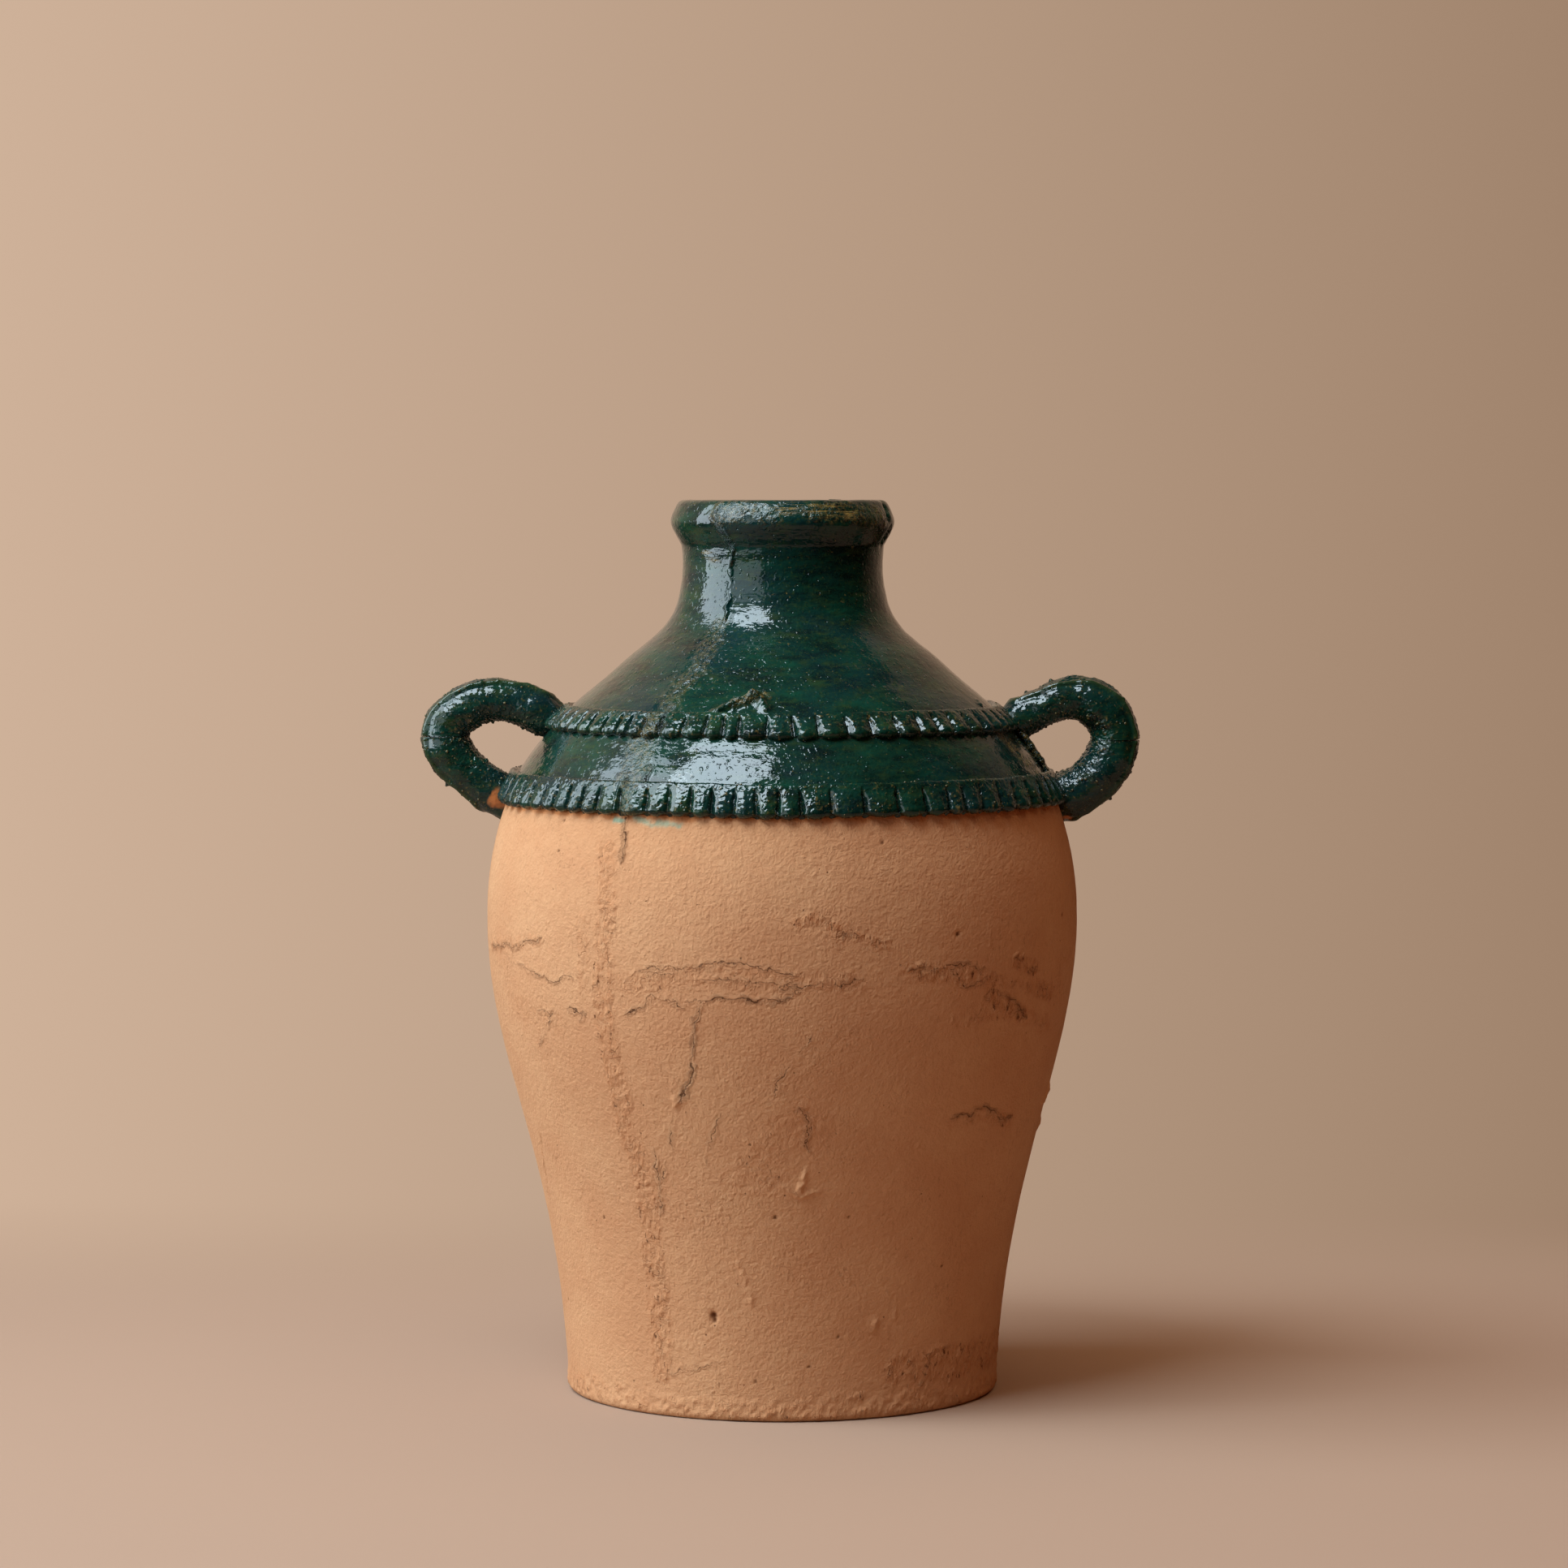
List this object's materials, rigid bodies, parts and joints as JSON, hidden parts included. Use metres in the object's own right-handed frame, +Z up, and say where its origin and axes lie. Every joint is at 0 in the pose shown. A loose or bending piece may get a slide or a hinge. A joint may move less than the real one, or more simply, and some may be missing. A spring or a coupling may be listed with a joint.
{
  "type": "olive jar",
  "caption": "Handled terracotta olive jar with a swelling body, narrow neck, rolled rim, notched bands and green-glazed shoulder.",
  "frame": {"origin": "centre of the foot, on the surface that the jar stands on", "axes": "+Z up along the jar's axis; +X towards the right handle as the jar is seen from the front; the front faces -Y"},
  "size_m": [0.3239, 0.2654, 0.4],
  "materials": {
    "terracotta": "unglazed, matt, fine grained",
    "green_glaze": "glossy lead-green glaze, mottled",
    "luting_clay": "rough, smeared by hand"
  },
  "bodies": {
    "root": {"base_slab": "terracotta", "base_coil": "terracotta", "lower_wall_left": "terracotta", "lower_wall_right": "terracotta", "upper_wall_left": "terracotta", "upper_wall_right": "terracotta", "shoulder_wall_left": "green_glaze", "shoulder_wall_right": "green_glaze", "neck_wall_left": "green_glaze", "neck_wall_right": "green_glaze", "rim_left": "green_glaze", "rim_right": "green_glaze", "lower_band_left": "green_glaze", "lower_band_right": "green_glaze", "upper_band_left": "green_glaze", "upper_band_right": "green_glaze", "left_handle": "green_glaze", "right_handle": "green_glaze", "right_handle_luting": "luting_clay", "seam_coil_front": "luting_clay", "seam_coil_back": "luting_clay"}
  },
  "joints": []
}
